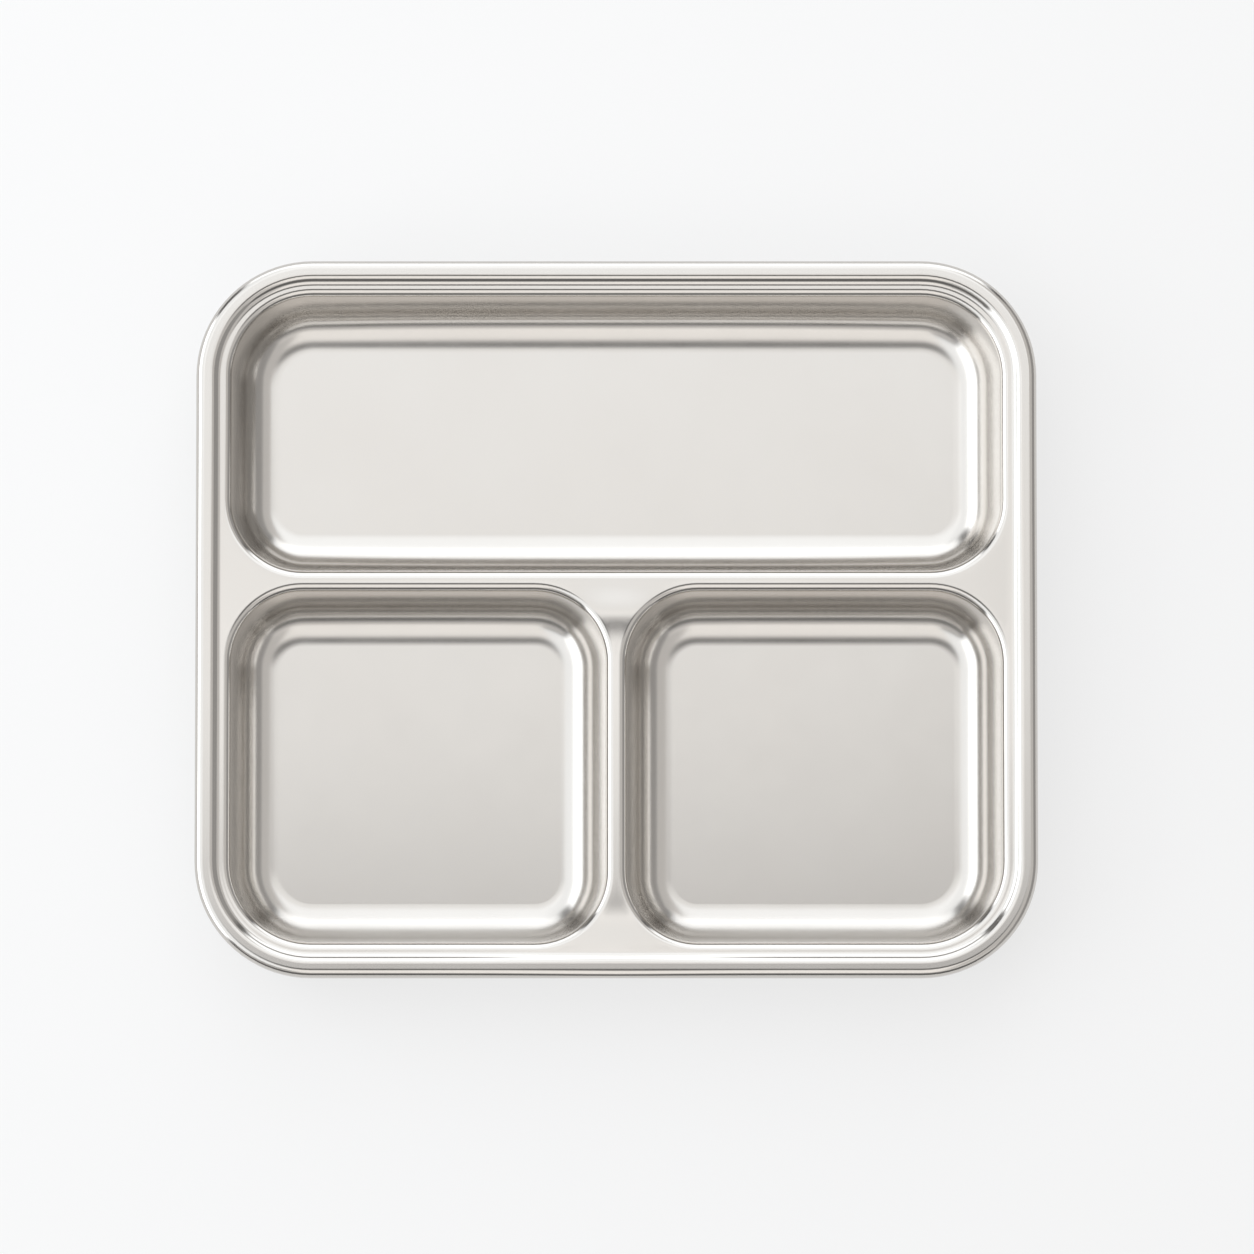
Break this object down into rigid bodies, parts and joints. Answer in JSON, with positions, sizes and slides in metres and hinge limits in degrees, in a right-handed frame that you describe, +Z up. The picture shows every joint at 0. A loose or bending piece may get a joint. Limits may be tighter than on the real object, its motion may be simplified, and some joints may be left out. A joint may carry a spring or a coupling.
{
  "type": "divided tray",
  "caption": "Double-wall stainless steel serving tray with a rounded rim, one wide well along the back and smaller wells in front, divided by narrow lands.",
  "frame": {"origin": "on the table under the middle of the tray, at the centre of the bounding box's bottom", "axes": "+X along the tray's longer side, +Y towards the side with the wide well, +Z up out of the wells"},
  "size_m": [0.26, 0.223, 0.03],
  "materials": {
    "liner_steel": "satin",
    "shell_steel": "satin"
  },
  "bodies": {
    "root": {"tray_liner": "liner_steel", "outer_shell": "shell_steel"}
  },
  "joints": []
}
